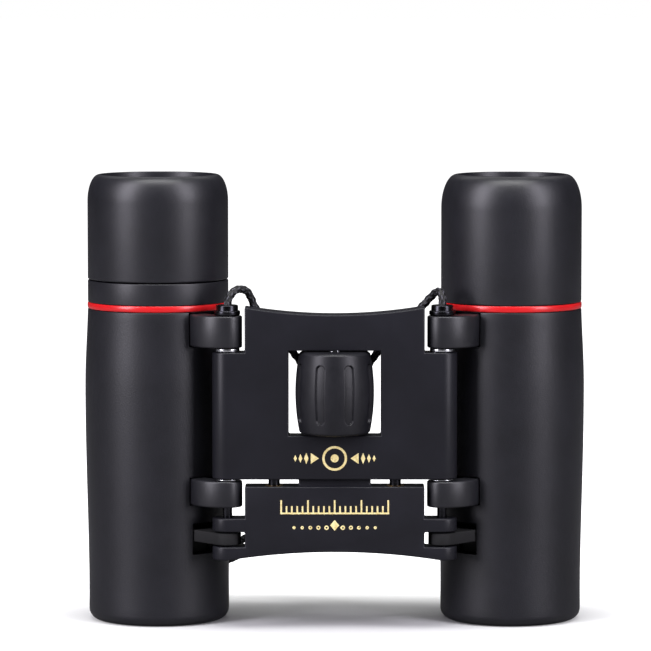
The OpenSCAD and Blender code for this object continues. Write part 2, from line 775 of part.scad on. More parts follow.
red_ring(1);  // right_red_ring
eyepiece_body(1);  // right_eyepiece_body
eyecup(1, eyecup_z, right_rim_r);  // right_eyecup
ocular_cell(1);  // right_ocular_cell
eye_lens(1);  // right_eye_lens
lens_spacer(1);  // right_lens_spacer
field_lens(1);  // right_field_lens
ocular_ring(1);  // right_ocular_ring
prism_housing(1);  // right_prism_housing
half_penta_prism(1);  // right_half_penta_prism
roof_prism(1);  // right_roof_prism
prism_retainer(1);  // right_prism_retainer
prism_screws(1);  // right_prism_screws
objective_cell(1);  // right_objective_cell
objective_crown(1);  // right_objective_crown
objective_flint(1);  // right_objective_flint
objective_ring(1);  // right_objective_ring
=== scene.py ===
import math

import bmesh
import bpy
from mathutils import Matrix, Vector


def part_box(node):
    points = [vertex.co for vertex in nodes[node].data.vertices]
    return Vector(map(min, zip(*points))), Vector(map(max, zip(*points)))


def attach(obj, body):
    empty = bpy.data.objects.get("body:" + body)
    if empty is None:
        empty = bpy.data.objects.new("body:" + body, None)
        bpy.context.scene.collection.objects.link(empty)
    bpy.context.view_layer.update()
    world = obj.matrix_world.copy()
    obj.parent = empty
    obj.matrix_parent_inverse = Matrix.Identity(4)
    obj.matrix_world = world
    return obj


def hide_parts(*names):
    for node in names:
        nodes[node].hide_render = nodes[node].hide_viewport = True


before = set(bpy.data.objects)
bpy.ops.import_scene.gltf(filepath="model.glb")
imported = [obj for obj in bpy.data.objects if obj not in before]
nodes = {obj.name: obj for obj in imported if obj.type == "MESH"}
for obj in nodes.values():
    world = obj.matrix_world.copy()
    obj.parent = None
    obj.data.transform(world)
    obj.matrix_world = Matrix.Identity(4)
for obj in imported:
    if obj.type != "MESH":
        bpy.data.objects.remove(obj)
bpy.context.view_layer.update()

MM = 0.001

# Places that the rest is built from, all from the frame
barrel_axis = {}
for side in ("left", "right"):
    low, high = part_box(side + "_armour")
    barrel_axis[side] = ((low[0] + high[0]) / 2, (low[1] + high[1]) / 2)
pin_axis = {}
for side in ("left", "right"):
    low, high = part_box(side + "_hinge_pin")
    pin_axis[side] = ((low[0] + high[0]) / 2, (low[1] + high[1]) / 2)
hinge_y = pin_axis["left"][1]
outward = {"left": -1, "right": 1}


# ---- camera ----

camera_data = bpy.data.cameras.new("studio_camera")
camera_data.sensor_width = 36
camera_data.lens = 225.3
camera_data.shift_x = -0.0141
camera = bpy.data.objects.new("studio_camera", camera_data)
camera.location = (0, -0.8609, 0.13696)
camera.rotation_euler = (math.radians(90 - 4.904), 0, 0)
bpy.context.scene.collection.objects.link(camera)
bpy.context.scene.camera = camera
bpy.context.scene.view_settings.view_transform = "Standard"


# ---- materials ----

def linear(code):
    """sRGB hex to linear RGBA."""
    parts = [int(code[i:i + 2], 16) / 255 for i in (1, 3, 5)]
    return tuple(c / 12.92 if c <= 0.04045 else ((c + 0.055) / 1.055) ** 2.4 for c in parts) + (1.0,)


def add(tree, kind, settings=None, inputs=None):
    """One node with its settings, and its inputs as values or as the sockets that feed them."""
    made = tree.nodes.new(kind)
    for key, value in (settings or {}).items():
        setattr(made, key, value)
    for key, value in (inputs or {}).items():
        if isinstance(value, bpy.types.NodeSocket):
            tree.links.new(value, made.inputs[key])
        else:
            made.inputs[key].default_value = value
    return made


def new_finish(name, inputs):
    """A material with one Principled shader, and the place in millimetres that its patterns use."""
    material = bpy.data.materials.new(name)
    material.use_nodes = True
    tree = material.node_tree
    tree.nodes.clear()
    shader = add(tree, "ShaderNodeBsdfPrincipled", inputs=inputs)
    add(tree, "ShaderNodeOutputMaterial", inputs={"Surface": shader.outputs["BSDF"]})
    place = add(tree, "ShaderNodeTexCoord")
    in_mm = add(tree, "ShaderNodeVectorMath", {"operation": "SCALE"},
                {"Vector": place.outputs["Object"], "Scale": 1000.0})
    return material, tree, shader, in_mm.outputs["Vector"]


def set_input(tree, shader, key, socket):
    tree.links.new(socket, shader.inputs[key])


def two_tones(tree, factor, dark, light, low=0.3, high=0.7):
    """Colour between two tones along a factor."""
    ramp = add(tree, "ShaderNodeValToRGB", inputs={"Fac": factor})
    ramp.color_ramp.elements[0].position = low
    ramp.color_ramp.elements[0].color = linear(dark)
    ramp.color_ramp.elements[1].position = high
    ramp.color_ramp.elements[1].color = linear(light)
    return ramp.outputs["Color"]


def between(tree, factor, low, high):
    made = add(tree, "ShaderNodeMapRange", inputs={"Value": factor, "To Min": low, "To Max": high})
    return made.outputs["Result"]


def moulded(name, dark, light, rough, grain_mm, grain_height, mottle_mm, **own):
    """A moulded skin: fine grain from the mould, and slow patches where hands have polished it."""
    material, tree, shader, mm = new_finish(name, own)
    patches = add(tree, "ShaderNodeTexNoise", inputs={
        "Vector": mm, "Scale": 1 / mottle_mm, "Detail": 4.0, "Roughness": 0.6})
    grain = add(tree, "ShaderNodeTexNoise", inputs={
        "Vector": mm, "Scale": 1 / grain_mm, "Detail": 2.0, "Roughness": 0.55})
    pits = add(tree, "ShaderNodeTexVoronoi", {"feature": "SMOOTH_F1"},
               {"Vector": mm, "Scale": 0.7 / grain_mm, "Smoothness": 0.4})
    skin = add(tree, "ShaderNodeMath", {"operation": "ADD"},
               {0: grain.outputs["Fac"], 1: pits.outputs["Distance"]})
    bump = add(tree, "ShaderNodeBump", inputs={
        "Height": skin.outputs["Value"], "Strength": 0.35, "Distance": grain_height * MM})
    set_input(tree, shader, "Base Color", two_tones(tree, patches.outputs["Fac"], dark, light))
    set_input(tree, shader, "Roughness", between(tree, patches.outputs["Fac"], rough[0], rough[1]))
    set_input(tree, shader, "Normal", bump.outputs["Normal"])
    return material


def machined(name, dark, light, rough, line_mm, line_height, stretch, **own):
    """Turned or drawn metal: fine tool lines across or along Z, with a little stain between them."""
    material, tree, shader, mm = new_finish(name, dict(own, Metallic=1.0))
    squeezed = add(tree, "ShaderNodeVectorMath", {"operation": "MULTIPLY"},
                   {0: mm, 1: stretch})
    lines = add(tree, "ShaderNodeTexNoise", inputs={
        "Vector": squeezed.outputs["Vector"], "Scale": 1 / line_mm, "Detail": 3.0, "Roughness": 0.6})
    stain = add(tree, "ShaderNodeTexNoise", inputs={"Vector": mm, "Scale": 0.35, "Detail": 3.0})
    bump = add(tree, "ShaderNodeBump", inputs={
        "Height": lines.outputs["Fac"], "Strength": 0.3, "Distance": line_height * MM})
    set_input(tree, shader, "Base Color", two_tones(tree, stain.outputs["Fac"], dark, light))
    set_input(tree, shader, "Roughness", between(tree, lines.outputs["Fac"], rough[0], rough[1]))
    set_input(tree, shader, "Normal", bump.outputs["Normal"])
    return material


# Thermoplastic rubber, overmoulded on the barrels: a spark-eroded mould leaves a grain of about
# 0.2 mm, so its highlights are broad and soft and the black looks slightly grey.
armour_rubber = moulded("overmoulded_rubber", "#0f0f13", "#141419", (0.4, 0.47), 0.2, 0.03, 9.0,
                        **{"IOR": 1.5, "Specular IOR Level": 0.36})

# The eyecups' own rubber is softer and finer in its grain, and picks up a little more light.
eyecup_rubber = moulded("soft_eyecup_rubber", "#111115", "#16161b", (0.37, 0.44), 0.16, 0.025, 7.0,
                        **{"IOR": 1.5, "Specular IOR Level": 0.4})

# Glass-filled nylon for the lugs and the tube: satin, with the finest grain.
barrel_nylon = moulded("glass_filled_nylon", "#111115", "#17171b", (0.36, 0.44), 0.12, 0.02, 6.0,
                       **{"IOR": 1.53, "Specular IOR Level": 0.4})

# Satin black ABS, injection moulded, for the flat bridge plates: smoother than the barrels.
bridge_abs = moulded("satin_black_abs", "#131317", "#17171c", (0.36, 0.42), 0.12, 0.015, 12.0,
                     **{"IOR": 1.53, "Specular IOR Level": 0.2})

# The focus wheel's rubber tyre, satin where fingers have polished its crown.
wheel_rubber = moulded("focus_wheel_rubber", "#101014", "#16161a", (0.38, 0.46), 0.15, 0.02, 3.0,
                       **{"IOR": 1.5, "Specular IOR Level": 0.3})

# Matte black lens tubes and baffles inside the barrels.
inner_black = moulded("matte_baffle_black", "#0f0f10", "#151516", (0.65, 0.8), 0.25, 0.03, 4.0,
                      **{"IOR": 1.45, "Specular IOR Level": 0.3})

# PVC-coated twist tie.
tie_vinyl = moulded("tie_vinyl", "#151516", "#1d1d1e", (0.3, 0.42), 0.3, 0.02, 2.0,
                    **{"IOR": 1.52, "Specular IOR Level": 0.5})

# Steel pins, rods and screws, ground and plated.
ground_steel = machined("ground_steel", "#b9babd", "#d6d7d9", (0.16, 0.3), 0.08, 0.004, (1, 1, 4))

# Black nickel on the eyelet heads: dark, but a mirror where the light strikes it.
black_nickel = machined("black_nickel", "#232326", "#333337", (0.2, 0.32), 0.1, 0.004, (1, 1, 6))

# Turned brass of the bearing bush and the nuts.
turned_brass = machined("turned_brass", "#b08a3e", "#cfae62", (0.22, 0.34), 0.1, 0.005, (0.3, 0.3, 6))


def red_lacquer():
    """Red lacquer over a turned aluminium ring: glossy, with faint turning lines under the coat."""
    material, tree, shader, mm = new_finish("red_lacquered_ring", {
        "IOR": 1.5, "Coat Weight": 0.3, "Coat Roughness": 0.2, "Specular IOR Level": 0.3})
    squeezed = add(tree, "ShaderNodeVectorMath", {"operation": "MULTIPLY"}, {0: mm, 1: (0.2, 0.2, 7.0)})
    lines = add(tree, "ShaderNodeTexNoise", inputs={
        "Vector": squeezed.outputs["Vector"], "Scale": 1.6, "Detail": 2.0})
    bump = add(tree, "ShaderNodeBump", inputs={
        "Height": lines.outputs["Fac"], "Strength": 0.2, "Distance": 0.01 * MM})
    set_input(tree, shader, "Base Color", two_tones(tree, lines.outputs["Fac"], "#b01216", "#c4191d"))
    set_input(tree, shader, "Roughness", between(tree, lines.outputs["Fac"], 0.26, 0.36))
    set_input(tree, shader, "Normal", bump.outputs["Normal"])
    return material


def gold_foil():
    """Hot-stamped gold foil: a thin bright print, a little uneven where the stamp pressed less."""
    material, tree, shader, mm = new_finish("stamped_gold_foil", {"Metallic": 0.35})
    press = add(tree, "ShaderNodeTexNoise", inputs={"Vector": mm, "Scale": 1.4, "Detail": 5.0})
    set_input(tree, shader, "Base Color", two_tones(tree, press.outputs["Fac"], "#d9c27a", "#fbeeb4"))
    set_input(tree, shader, "Roughness", between(tree, press.outputs["Fac"], 0.35, 0.5))
    return material


def nylon_braid():
    """Braided black nylon: filaments of about 0.1 mm on each strand, a painted highlight on the crown of
    each strand and painted shade between the strands.
    """
    material, tree, shader, mm = new_finish("braided_nylon", {"IOR": 1.53, "Specular IOR Level": 0.3})
    fibres = add(tree, "ShaderNodeTexNoise", inputs={"Vector": mm, "Scale": 6.0, "Detail": 3.0})
    strand = add(tree, "ShaderNodeAttribute", {"attribute_name": "strand_height"})
    crown = add(tree, "ShaderNodeMath", {"operation": "MULTIPLY_ADD"},
                {0: fibres.outputs["Fac"], 1: 0.35, 2: strand.outputs["Fac"]})
    bump = add(tree, "ShaderNodeBump", inputs={
        "Height": fibres.outputs["Fac"], "Strength": 0.6, "Distance": 0.05 * MM})
    # Painted light: the base colour is lighter on each strand's crown (a painted highlight) and near black
    # in the gaps between strands (painted shade), keyed to the strand height.
    set_input(tree, shader, "Base Color",
              two_tones(tree, crown.outputs["Value"], "#030304", "#3a3a40", 0.8, 1.15))
    set_input(tree, shader, "Roughness", between(tree, fibres.outputs["Fac"], 0.45, 0.65))
    set_input(tree, shader, "Normal", bump.outputs["Normal"])
    return material


def coated_glass(name, tint, coat_tint):
    """Lens glass with an antireflection coating, which gives a coloured reflection."""
    material, tree, shader, mm = new_finish(name, {
        "IOR": 1.52, "Transmission Weight": 0.85, "Coat Weight": 1.0, "Coat Roughness": 0.02,
        "Coat IOR": 1.9, "Coat Tint": linear(coat_tint)})
    film = add(tree, "ShaderNodeTexNoise", inputs={"Vector": mm, "Scale": 0.12, "Detail": 1.0})
    set_input(tree, shader, "Base Color", two_tones(tree, film.outputs["Fac"], tint[0], tint[1]))
    set_input(tree, shader, "Roughness", between(tree, film.outputs["Fac"], 0.01, 0.03))
    return material


ring_red = red_lacquer()
gold_print = gold_foil()
cord_nylon = nylon_braid()
# Blue-green film on the eye lenses, amber-red film on the objectives.
ocular_glass = coated_glass("blue_coated_glass", ("#c9d8e4", "#dbe6ee"), "#8fc0e0")
objective_glass = coated_glass("ruby_coated_glass", ("#c4623f", "#d97a52"), "#ff9a70")
prism_glass = coated_glass("crown_prism_glass", ("#dfe8ec", "#eef3f5"), "#ffffff")


# ---- meshes ----

def piece(name, mesh, material, body, stands_for=(), crease=35):
    """Puts a finished mesh into the scene, on its body, in place of the CAD nodes it stands for."""
    mesh.name = name
    mesh.shade_smooth()
    mesh.set_sharp_from_angle(angle=math.radians(crease))
    mesh.materials.clear()
    mesh.materials.append(material)
    made = bpy.data.objects.new(name, mesh)
    bpy.context.scene.collection.objects.link(made)
    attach(made, body)
    if stands_for:
        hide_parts(*stands_for)
    return made


def eased(corners, steps=4):
    """Rounds each corner (r, z, ease) of a closed outline over the length ease on both sides."""
    out = []
    count = len(corners)
    for i, (r, z, ease) in enumerate(corners):
        here = Vector((r, z))
        if ease <= 0:
            out.append(here)
            continue
        before = Vector(corners[i - 1][:2]) - here
        after = Vector(corners[(i + 1) % count][:2]) - here
        a = here + before * min(ease / before.length, 0.48)
        b = here + after * min(ease / after.length, 0.48)
        for k in range(steps + 1):
            t = k / steps
            out.append(a * (1 - t) ** 2 + here * 2 * t * (1 - t) + b * t * t)
    return out


def spun(outline, centre, steps=144):
    """A closed outline of (r, z) in mm, spun about a vertical axis at centre."""
    mesh = bmesh.new()
    rings = []
    for k in range(steps):
        turn = 2 * math.pi * k / steps
        rings.append([mesh.verts.new((centre[0] + p[0] * MM * math.cos(turn),
                                      centre[1] + p[0] * MM * math.sin(turn), p[1] * MM)) for p in outline])
    count = len(outline)
    for k in range(steps):
        for i in range(count):
            j = (i + 1) % count
            if outline[i][0] < 1e-6 and outline[j][0] < 1e-6:
                continue
            mesh.faces.new((rings[k][i], rings[(k + 1) % steps][i], rings[(k + 1) % steps][j], rings[k][j]))
    return settled(mesh)


def settled(mesh, merge=1e-7):
    """Merges, turns the faces outwards and hands over the mesh."""
    bmesh.ops.remove_doubles(mesh, verts=mesh.verts, dist=merge)
    bmesh.ops.recalc_face_normals(mesh, faces=mesh.faces)
    made = bpy.data.meshes.new("made")
    mesh.to_mesh(made)
    mesh.free()
    return made


def softened(node, width, least=28):
    """The CAD node's own shape with its sharp edges rounded over, as a mould leaves them."""
    mesh = bmesh.new()
    mesh.from_mesh(nodes[node].data)
    bmesh.ops.remove_doubles(mesh, verts=mesh.verts, dist=2e-6)
    bmesh.ops.dissolve_limit(mesh, angle_limit=math.radians(0.5), verts=mesh.verts, edges=mesh.edges)
    sharp = [e for e in mesh.edges if len(e.link_faces) == 2
             and e.calc_face_angle(0) > math.radians(least)]
    bmesh.ops.bevel(mesh, geom=sharp, offset=width * MM, segments=3, profile=0.5,
                    affect="EDGES", clamp_overlap=False)
    return settled(mesh)


def cut(mesh, cutters):
    """mesh less the cutters, which are meshes too."""
    base = bpy.data.objects.new("cut_base", mesh)
    bpy.context.scene.collection.objects.link(base)
    tools = []
    for cutter in cutters:
        tool = bpy.data.objects.new("cut_tool", cutter)
        bpy.context.scene.collection.objects.link(tool)
        tools.append(tool)
        step = base.modifiers.new("cut", "BOOLEAN")
        step.operation = "DIFFERENCE"
        step.solver = "EXACT"
        step.object = tool
    graph = bpy.context.evaluated_depsgraph_get()
    made = bpy.data.meshes.new_from_object(base.evaluated_get(graph))
    for extra in [base] + tools:
        bpy.data.objects.remove(extra)
    return made


def extruded(outline, z0, z1):
    """A flat outline of (x, y) in metres, raised from z0 to z1 in mm."""
    mesh = bmesh.new()
    low = [mesh.verts.new((x, y, z0 * MM)) for x, y in outline]
    high = [mesh.verts.new((x, y, z1 * MM)) for x, y in outline]
    mesh.faces.new(low)
    mesh.faces.new(high)
    for i in range(len(outline)):
        j = (i + 1) % len(outline)
        mesh.faces.new((low[i], low[j], high[j], high[i]))
    return settled(mesh)


# ---- neck cord: one length, from eyelet to coil and back to the other eyelet ----

CORD_D = 1.7
left_leg = [
    (-22.5, -11.8, 66.7), (-22.5, -11.8, 68.4), (-21.6, -11.1, 70.8), (-19.7, -9.6, 71.7),
    (-18, -8.2, 70.6), (-17.1, -7.6, 68.3), (-15.4, -7.5, 65.4), (-12.6, -7.4, 62.2), (-9, -7.1, 58.4),
    (-6.2, -4.5, 54.2), (-3.2, -2.2, 49), (-1.4, -1.2, 42), (-1.2, -0.8, 34), (-0.4, 2.4, 27),
    (-0.2, 14.5, 20.6), (-2.8, 21.5, 17.8), (-10, 26.4, 14), (-19, 27.8, 10.8), (-28, 27.8, 7)]
right_leg = [
    (22.5, -11.8, 66.7), (22.5, -11.8, 68.4), (22.5, -11, 70.5), (21.7, -9.4, 71.2),
    (20.2, -7.7, 69.8), (18.5, -7.5, 67.9), (13.4, -7.3, 62.8), (9, -7.1, 58), (6.2, -4.5, 53.8),
    (3.2, -2.2, 48.6), (1.4, -1.2, 42), (1.2, -0.6, 35.6), (0.4, 2.6, 30), (0, 8, 26.4),
    (-0.2, 14.5, 24), (-3, 22.6, 21.2), (-10.4, 28.6, 17.4), (-19.4, 30.4, 13.6), (-28, 30.8, 8.4)]
coil_centre = Vector((-37.6, 37.0, 0))
coil_columns = [11.9, 10.2, 8.5, 6.8]
coil_layers = [1.25, 2.95, 4.65]


def smooth_step(t):
    t = min(max(t, 0), 1)
    return t * t * (3 - 2 * t)


def wound(start, slots, last_turn):
    """One half of the coil, wound inwards clockwise: slots are (column, layer), one turn in each."""
    ramp = math.radians(60)
    points = []
    total = math.radians(360) * (len(slots) - 1) + math.radians(last_turn)
    count = int(total / math.radians(8))
    for i in range(count + 1):
        gone = total * i / count
        turn = gone / math.radians(360)
        k = min(int(turn), len(slots) - 1)
        r, z = coil_columns[slots[k][0]], coil_layers[slots[k][1]]
        left = (k + 1) * math.radians(360) - gone
        if k + 1 < len(slots) and left < ramp:
            t = smooth_step(1 - left / ramp)
            r += (coil_columns[slots[k + 1][0]] - r) * t
            z += (coil_layers[slots[k + 1][1]] - z) * t
        angle = math.radians(start) - gone
        points.append(coil_centre + Vector((r * math.cos(angle), r * math.sin(angle), z)))
    return points


first_half = wound(-72, [(0, 2), (0, 1), (0, 0), (1, 0), (2, 0), (3, 0)], 150)
second_half = wound(-64, [(1, 2), (1, 1), (2, 1), (2, 2), (3, 2), (3, 1), (3, 0)], -22)


def through_middle(a, steps=14):
    """The S-shaped crossing in the open middle of the coil, which turns the winding round."""
    inner = coil_columns[3]
    points = []
    enter = math.atan2(a[1] - coil_centre[1], a[0] - coil_centre[0])
    for half in (0, 1):
        facing = enter if half == 0 else enter + math.pi
        hub = coil_centre + Vector((inner / 2 * math.cos(facing), inner / 2 * math.sin(facing), 0))
        for i in range(1, steps):
            t = i / steps
            turn = enter - math.pi * t if half == 0 else enter + math.pi * t
            points.append(hub + Vector((inner / 2 * math.cos(turn), inner / 2 * math.sin(turn), 0.95)))
        if half == 0:
            points.append(coil_centre + Vector((0, 0, 0.95)))
    return points


def flowing(points, per=6):
    """A smooth line through the points, as in the CAD."""
    out = []
    last = len(points) - 1
    for i in range(last):
        a, b = points[max(i - 1, 0)], points[i]
        c, d = points[i + 1], points[min(i + 2, last)]
        for k in range(per):
            t = k / per
            out.append((2 * b + (c - a) * t + (2 * a - 5 * b + 4 * c - d) * t * t
                        + (3 * b - a - 3 * c + d) * t ** 3) / 2)
    out.append(points[last])
    return out


def spaced(points, step):
    """The same line as points an equal step apart."""
    lengths = [0.0]
    for a, b in zip(points, points[1:]):
        lengths.append(lengths[-1] + (b - a).length)
    count = max(int(lengths[-1] / step), 1)
    out = []
    k = 0
    for i in range(count + 1):
        want = lengths[-1] * i / count
        while k < len(points) - 2 and lengths[k + 1] < want:
            k += 1
        span = lengths[k + 1] - lengths[k]
        out.append(points[k].lerp(points[k + 1], (want - lengths[k]) / span if span > 0 else 0))
    return out


def relaxed(points, rounds):
    """Evens out small kinks where two stretches join, with both ends held."""
    for _ in range(rounds):
        inner = [(a + 2 * b + c) / 4 for a, b, c in zip(points, points[1:], points[2:])]
        points = [points[0]] + inner + [points[-1]]
    return points


middle = through_middle(first_half[-1])
cord_line = flowing([Vector(p) for p in left_leg]) + first_half + middle
cord_line += list(reversed(second_half)) + list(reversed(flowing([Vector(p) for p in right_leg])))
cord_line = relaxed(spaced(cord_line, 0.4), 6)
cord_line = [p * MM for p in spaced(flowing(cord_line, 3), 0.3)]


def braided(line, diameter, round_count=30, strands=5, lay_mm=5.0):
    """A round braid: two families of strands cross over and under each other round the line."""
    mesh = bmesh.new()
    height = mesh.verts.layers.float.new("strand_height")
    side = Vector((1, 0, 0))
    rings = []
    along = 0.0
    for i, here in enumerate(line):
        ahead = (line[min(i + 1, len(line) - 1)] - line[max(i - 1, 0)]).normalized()
        side = (side - ahead * side.dot(ahead)).normalized()
        other = ahead.cross(side)
        if i:
            along += (here - line[i - 1]).length / MM
        ring = []
        for k in range(round_count):
            turn = 2 * math.pi * k / round_count
            shift = 2 * math.pi * along / lay_mm
            u, v = strands * turn + strands * shift / 2, strands * turn - strands * shift / 2
            weave = math.cos(u / 2) * math.cos(v / 2)
            strand = max(abs(math.cos(u / 2)) * (1 + weave), abs(math.cos(v / 2)) * (1 - weave)) / 2
            radius = diameter / 2 * (0.76 + 0.3 * strand)
            ring.append(mesh.verts.new(here + radius * (math.cos(turn) * side + math.sin(turn) * other)))
            # The strand height goes to the material, which paints highlights on the crowns and shade between
            # the strands.
            ring[-1][height] = strand
        rings.append(ring)
    for a, b in zip(rings, rings[1:]):
        for k in range(round_count):
            j = (k + 1) % round_count
            mesh.faces.new((a[k], a[j], b[j], b[k]))
    mesh.faces.new(list(reversed(rings[0])))
    mesh.faces.new(rings[-1])
    return settled(mesh)


neck_cord = piece("neck_cord", braided(cord_line, CORD_D * MM), cord_nylon, "bridge",
                  ("strap_left_run", "strap_right_run", "strap_coil"), crease=80)


def twist_tie():
    """A flat vinyl tie round the bundle, its two ends twisted together on top."""
    mesh = bmesh.new()
    centre = coil_centre + Vector((0, (coil_columns[0] + coil_columns[3]) / 2, 0))
    half_w, half_t = 1.2, 0.14
    reach_y, low_z, high_z, corner = 3.62, 0.16, 5.74, 1.3
    loop = []
    for cy, cz, start in ((1, 1, 0), (-1, 1, 90), (-1, -1, 180), (1, -1, 270)):
        for a in range(0, 91, 15):
            turn = math.radians(start + a)
            y = cy * (reach_y - corner) + corner * math.cos(turn)
            z = (high_z - corner if cz > 0 else low_z + corner) + corner * math.sin(turn)
            loop.append((y, z, math.cos(turn), math.sin(turn)))
    rings = []
    for y, z, ny, nz in loop:
        ring = []
        for w, t in ((-half_w, -half_t), (-half_w * 0.8, half_t), (half_w * 0.8, half_t), (half_w, -half_t)):
            ring.append(mesh.verts.new((centre + Vector((w, y + ny * t, z + nz * t))) * MM))
        rings.append(ring)
    for i in range(len(rings)):
        a, b = rings[i], rings[(i + 1) % len(rings)]
        for k in range(4):
            mesh.faces.new((a[k], a[(k + 1) % 4], b[(k + 1) % 4], b[k]))
    tail = [centre + Vector((0.3 + 0.9 * i / 10, 1.0 - 0.66 * i, high_z + 0.62 + 0.25 * math.sin(i / 3)))
            for i in range(14)]
    for sign in (0, math.pi):
        previous = None
        for i, here in enumerate(tail):
            turn = 1.1 * i + sign
            across = Vector((math.cos(turn), 0, math.sin(turn)))
            flat = Vector((-math.sin(turn), 0, math.cos(turn)))
            hub = here + across * 0.22
            ring = [mesh.verts.new((hub + flat * 0.42 * a + across * 0.13 * b) * MM)
                    for a, b in ((-1, -1), (1, -1), (1, 1), (-1, 1))]
            if previous:
                for k in range(4):
                    mesh.faces.new((previous[k], previous[(k + 1) % 4], ring[(k + 1) % 4], ring[k]))
            else:
                mesh.faces.new(ring)
            previous = ring
        mesh.faces.new(list(reversed(previous)))
    return settled(mesh)


cord_tie = piece("cord_tie", twist_tie(), tie_vinyl, "bridge", ("strap_tie",), crease=50)


# ---- barrels ----

def swell(z, body_h, end_r, bulge):
    """Armour radius at height z, in mm, as in the CAD."""
    top = body_h * 0.74
    u = (z - top) / 19 if z > top else (top - z) / 42
    return end_r + (bulge * (1 - u * u) ** 2 if u < 1 else 0)


def millimetres(node):
    low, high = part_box(node)
    return [c / MM for c in low], [c / MM for c in high]


body_of = {"left": "left_barrel", "right": "right_barrel"}
eyecup_body = {"left": "left_eyecup_turn", "right": "right_barrel"}
ring_low, ring_high = millimetres("left_red_ring")
body_h = ring_low[2]
barrel_r = (ring_high[0] - ring_low[0]) / 2 - 0.05
armour_low, armour_high = millimetres("left_armour")
bulge = (armour_high[0] - armour_low[0]) / 2 - barrel_r
tube_r = barrel_r - 1.3
top_z = millimetres("left_eyecup")[1][2]
lug_top_z = body_h - 0.4
hinge_r = 3.15
lug_front_r = 8.1     # radius of a lug's front, which curves back from the hinge to the barrel
lug_seam = 0.28       # gap between a lug and the rubber round it
upper_lug_h = 6.7
lower_lug_z = 26.0
lower_lug_top = 31.5
arm_way_w = 3.2       # half the width of the opening for the focus arm
arm_way_z = 15.2
arm_way_top = 21.9


def lug_shape(side, grow):
    """Outline of a lug about its hinge, grown by a seam, for cutting the armour."""
    hx, hy = (c / MM for c in pin_axis[side])
    bx, by = (c / MM for c in barrel_axis[side])
    s = outward[side]
    arc_r = lug_front_r + grow
    points = []
    for a in range(-90, 1, 6):
        turn = math.radians(a)
        points.append((hx - s * (hinge_r + grow) * math.cos(turn), hy + (hinge_r + grow) * math.sin(turn)))
    points = [p for p in points if p[1] <= hy + 0.01]
    back = math.atan2(by - hy, s * (bx - hx))
    points.append((hx - s * (hinge_r + grow) * math.sin(back), hy + (hinge_r + grow) * math.cos(back)))
    points.append((bx - s * (hinge_r + grow) * math.sin(back), by + (hinge_r + grow) * math.cos(back)))
    points.append((bx, by))
    for a in range(0, 91, 6):
        turn = math.radians(a)
        points.append((hx + s * arc_r * math.cos(turn),
                       hy + lug_front_r - hinge_r - arc_r * math.sin(turn)))
    return [(x * MM, y * MM) for x, y in points]


def armour_mesh(side):
    """Rubber sleeve before it is cut: rounded foot, swelling grip and rolled top edge."""
    foot_r = 2.2
    outline = [(tube_r - 1.65, 0, 0.15)]
    for a in range(0, 91, 9):
        turn = math.radians(a)
        outline.append((barrel_r - foot_r + foot_r * math.sin(turn), foot_r - foot_r * math.cos(turn), 0))
    for i in range(1, 40):
        z = foot_r + (body_h - 0.25 - foot_r) * i / 40
        outline.append((swell(z, body_h, barrel_r, bulge), z, 0))
    outline += [(barrel_r, body_h - 0.02, 0.3), (tube_r + 0.05, body_h - 0.02, 0), (tube_r + 0.05, 1.15, 0),
                (tube_r - 1.65, 1.15, 0.1)]
    return spun(eased(outline), barrel_axis[side], 192)


for side in ("left", "right"):
    lug_cuts = [extruded(lug_shape(side, lug_seam), z0 - lug_seam, z1 + lug_seam)
                for z0, z1 in ((lug_top_z - upper_lug_h, lug_top_z), (lower_lug_z, lower_lug_top))]
    bx, by = barrel_axis[side]
    hx, hy = pin_axis[side]
    reach = Vector((hx - bx, hy - by, 0)).normalized()
    across = Vector((-reach.y, reach.x, 0)) * arm_way_w * MM
    far = Vector((bx, by, 0)) + reach * 20 * MM
    near = Vector((bx, by, 0)) + reach * 8 * MM
    way = extruded([(p.x, p.y) for p in (near - across, far - across, far + across, near + across)],
                   arm_way_z, arm_way_top)
    piece(side + "_armour_rubber", cut(armour_mesh(side), lug_cuts + [way]), armour_rubber,
          body_of[side], (side + "_armour",))
    piece(side + "_tube_and_lugs", softened(side + "_barrel_tube", 0.35), barrel_nylon,
          body_of[side], (side + "_barrel_tube",))
    r0, r1 = barrel_r + 0.05, tube_r - 1.0
    z0, z1 = ring_low[2] + 0.04, ring_high[2] - 0.04
    ring_outline = eased([(r1, z0, 0.1), (r0 - 0.05, z0, 0.22), (r0 + 0.05, (z0 + z1) / 2, 0.5),
                          (r0 - 0.05, z1, 0.22), (r1, z1, 0.1)])
    piece(side + "_red_trim_ring", spun(ring_outline, barrel_axis[side], 192),
          ring_red, body_of[side], (side + "_red_ring",))

collar_low, collar_high = millimetres("left_dioptre_collar")
collar_r = tube_r - 1.6
collar_z = collar_low[2] + 0.03
collar_outline = eased([(collar_r, collar_z, 0.1), (barrel_r, collar_z, 0.18),
                        (barrel_r, collar_high[2], 0.25), (collar_r, collar_high[2], 0.1)])
piece("left_dioptre_ring", spun(collar_outline, barrel_axis["left"], 192),
      eyecup_rubber, "left_barrel", ("left_dioptre_collar",))


